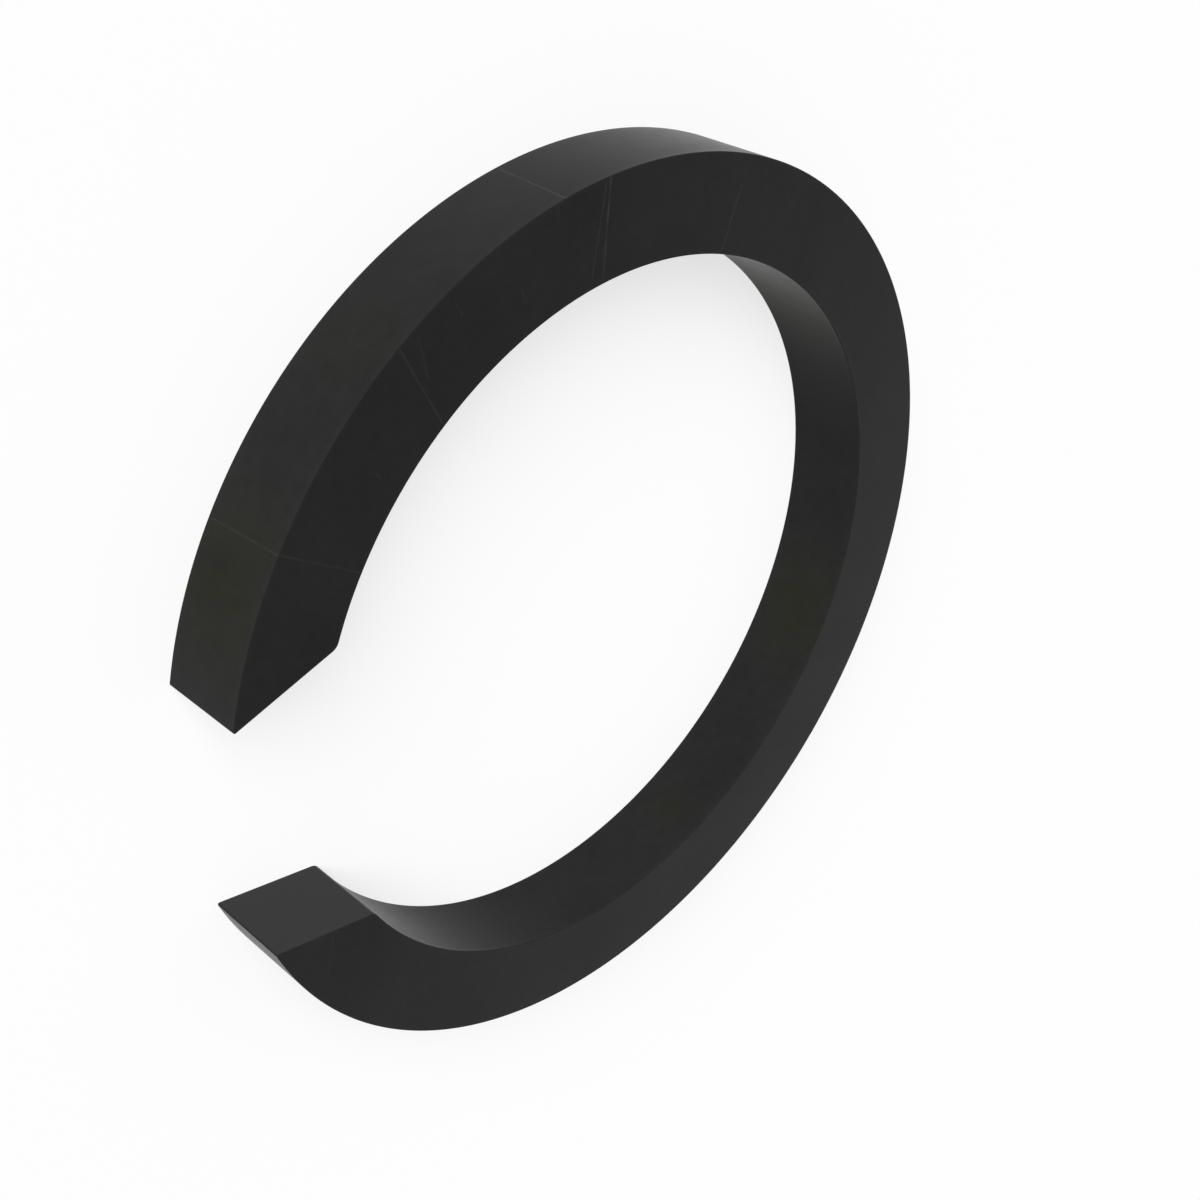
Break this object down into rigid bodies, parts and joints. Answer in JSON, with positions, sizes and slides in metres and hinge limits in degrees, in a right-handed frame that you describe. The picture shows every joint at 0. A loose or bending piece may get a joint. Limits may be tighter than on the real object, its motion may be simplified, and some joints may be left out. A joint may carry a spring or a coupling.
{
  "type": "external snap ring",
  "caption": "Open spring-steel ring of nearly square section with slanted ends; it snaps into a shaft's groove and stops what sits on the shaft from sliding off.",
  "frame": {"origin": "on the shaft's axis, in the plane of the lower side face", "axes": "+Z along the shaft's axis, out of the upper side face; the gap between the ends faces -Y; +X to the right seen from the gap"},
  "size_m": [0.0502, 0.0492, 0.0049],
  "materials": {
    "black_oxide_steel": "black oxide on tumbled spring steel, satin, with fine pale hairline scratches"
  },
  "bodies": {
    "root": {"snap_ring": "black_oxide_steel"}
  },
  "joints": []
}
